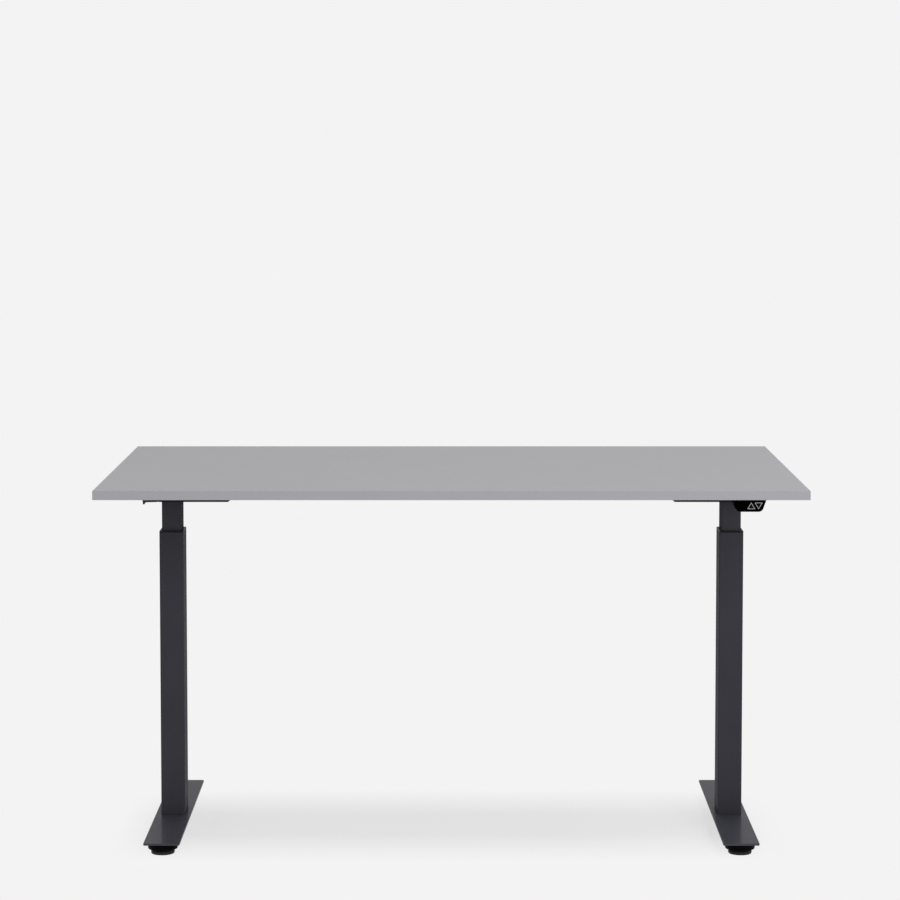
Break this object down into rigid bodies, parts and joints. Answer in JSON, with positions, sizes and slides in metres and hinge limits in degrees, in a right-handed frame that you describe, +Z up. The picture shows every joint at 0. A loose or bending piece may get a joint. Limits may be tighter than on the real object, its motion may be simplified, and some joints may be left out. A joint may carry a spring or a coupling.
{
  "type": "height adjustable standing desk",
  "caption": "Rectangular grey desktop on two telescopic rectangular columns with flat feet, driven by spindles from motors under the top and a two-key handset.",
  "frame": {"origin": "on the floor, under the middle of the desktop", "axes": "+Z up, +X along the desktop to the seated user's right, +Y away from the user"},
  "size_m": [1.4, 0.8, 0.755],
  "materials": {
    "column_steel": "dark grey powder coat, semi-gloss",
    "frame_steel": "near-black powder coat, satin",
    "motor_can": "black zinc-coated can",
    "cast_housing": "die-cast, matt",
    "bright_steel": "zinc plated or turned",
    "brass": "turned",
    "pale_nylon": "natural nylon",
    "guide_plastic": "black acetal",
    "glide_plastic": "black moulded polyamide",
    "desktop_laminate": "grey melamine-faced board, fine matt texture",
    "edge_band": "grey edge band, matt",
    "control_plastic": "black moulded plastic, fine texture",
    "circuit_board": "green solder mask",
    "handset_plastic": "black moulded plastic",
    "key_plastic": "black with a pale outline"
  },
  "bodies": {
    "base": {"left_foot_plate": "column_steel", "right_foot_plate": "column_steel", "left_column_insert": "bright_steel", "right_column_insert": "bright_steel", "foot_screws": "bright_steel", "left_outer_tube": "column_steel", "right_outer_tube": "column_steel", "left_guide_collar": "guide_plastic", "right_guide_collar": "guide_plastic", "left_push_tube": "bright_steel", "right_push_tube": "bright_steel", "left_spindle_nut": "brass", "right_spindle_nut": "brass"},
    "top": {"left_inner_tube": "column_steel", "right_inner_tube": "column_steel", "left_slider": "pale_nylon", "right_slider": "pale_nylon", "left_head_tray": "frame_steel", "right_head_tray": "frame_steel", "left_gearbox": "cast_housing", "right_gearbox": "cast_housing", "gearbox_screws": "bright_steel", "left_motor": "motor_can", "right_motor": "motor_can", "left_bearing": "bright_steel", "right_bearing": "bright_steel", "left_arm": "frame_steel", "right_arm": "frame_steel", "front_rail": "frame_steel", "back_rail": "frame_steel", "left_beam_plate": "frame_steel", "right_beam_plate": "frame_steel", "frame_bolts": "bright_steel", "desktop_board": "desktop_laminate", "front_edge_band": "edge_band", "back_edge_band": "edge_band", "left_edge_band": "edge_band", "right_edge_band": "edge_band", "desktop_screws": "bright_steel", "control_case": "control_plastic", "control_lid": "control_plastic", "control_circuit": "circuit_board", "control_sockets": "control_plastic", "power_inlet": "control_plastic", "handset_case": "handset_plastic", "handset_plate": "handset_plastic", "handset_circuit": "circuit_board"},
    "down_key": {"down_key": "key_plastic"},
    "left_spindle": {"left_spindle": "bright_steel"},
    "right_spindle": {"right_spindle": "bright_steel"},
    "up_key": {"up_key": "key_plastic"},
    "front_left_pad": {"front_left_pad": "glide_plastic"},
    "front_left_wheel": {"front_left_wheel": "glide_plastic"},
    "front_right_pad": {"front_right_pad": "glide_plastic"},
    "front_right_wheel": {"front_right_wheel": "glide_plastic"},
    "back_left_pad": {"back_left_pad": "glide_plastic"},
    "back_left_wheel": {"back_left_wheel": "glide_plastic"},
    "back_right_pad": {"back_right_pad": "glide_plastic"},
    "back_right_wheel": {"back_right_wheel": "glide_plastic"}
  },
  "joints": [
    {"name": "desk_lift", "type": "slide", "parent": "base", "child": "top", "axis": [0, 0, 1], "range_m": [-0.055, 0.425]},
    {"name": "left_spindle_turn", "type": "hinge", "parent": "top", "child": "left_spindle", "pos_m": [-0.583, 0, 0.69], "axis": [0, 0, 1], "range_deg": [-3301, 25501]},
    {"name": "right_spindle_turn", "type": "hinge", "parent": "top", "child": "right_spindle", "pos_m": [0.583, 0, 0.69], "axis": [0, 0, 1], "range_deg": [-3301, 25501]},
    {"name": "up_key_press", "type": "slide", "parent": "top", "child": "up_key", "axis": [0, 1, 0], "range_m": [0, 0.0008], "stiffness_N_per_m": 900, "springref_m": -0.001},
    {"name": "down_key_press", "type": "slide", "parent": "top", "child": "down_key", "axis": [0, 1, 0], "range_m": [0, 0.0008], "stiffness_N_per_m": 900, "springref_m": -0.001},
    {"name": "front_left_pad_slide", "type": "slide", "parent": "base", "child": "front_left_pad", "axis": [0, 0, -1], "range_m": [0, 0.00801]},
    {"name": "front_left_wheel_turn", "type": "hinge", "parent": "front_left_pad", "child": "front_left_wheel", "pos_m": [-0.583, -0.2475, 0.0165], "axis": [0, 0, 1], "range_deg": [-1920, 0]},
    {"name": "front_right_pad_slide", "type": "slide", "parent": "base", "child": "front_right_pad", "axis": [0, 0, -1], "range_m": [0, 0.00801]},
    {"name": "front_right_wheel_turn", "type": "hinge", "parent": "front_right_pad", "child": "front_right_wheel", "pos_m": [0.583, -0.2475, 0.0165], "axis": [0, 0, 1], "range_deg": [-1920, 0]},
    {"name": "back_left_pad_slide", "type": "slide", "parent": "base", "child": "back_left_pad", "axis": [0, 0, -1], "range_m": [0, 0.00801]},
    {"name": "back_left_wheel_turn", "type": "hinge", "parent": "back_left_pad", "child": "back_left_wheel", "pos_m": [-0.583, 0.2475, 0.0165], "axis": [0, 0, 1], "range_deg": [-1920, 0]},
    {"name": "back_right_pad_slide", "type": "slide", "parent": "base", "child": "back_right_pad", "axis": [0, 0, -1], "range_m": [0, 0.00801]},
    {"name": "back_right_wheel_turn", "type": "hinge", "parent": "back_right_pad", "child": "back_right_wheel", "pos_m": [0.583, 0.2475, 0.0165], "axis": [0, 0, 1], "range_deg": [-1920, 0]}
  ],
  "couplings": [
    {"joint": "left_spindle_turn", "follows": "desk_lift", "rad_per_m": 1047.2},
    {"joint": "right_spindle_turn", "follows": "desk_lift", "rad_per_m": 1047.2},
    {"joint": "front_left_pad_slide", "follows": "front_left_wheel_turn", "m_per_rad": -0.00023873},
    {"joint": "front_right_pad_slide", "follows": "front_right_wheel_turn", "m_per_rad": -0.00023873},
    {"joint": "back_left_pad_slide", "follows": "back_left_wheel_turn", "m_per_rad": -0.00023873},
    {"joint": "back_right_pad_slide", "follows": "back_right_wheel_turn", "m_per_rad": -0.00023873}
  ]
}
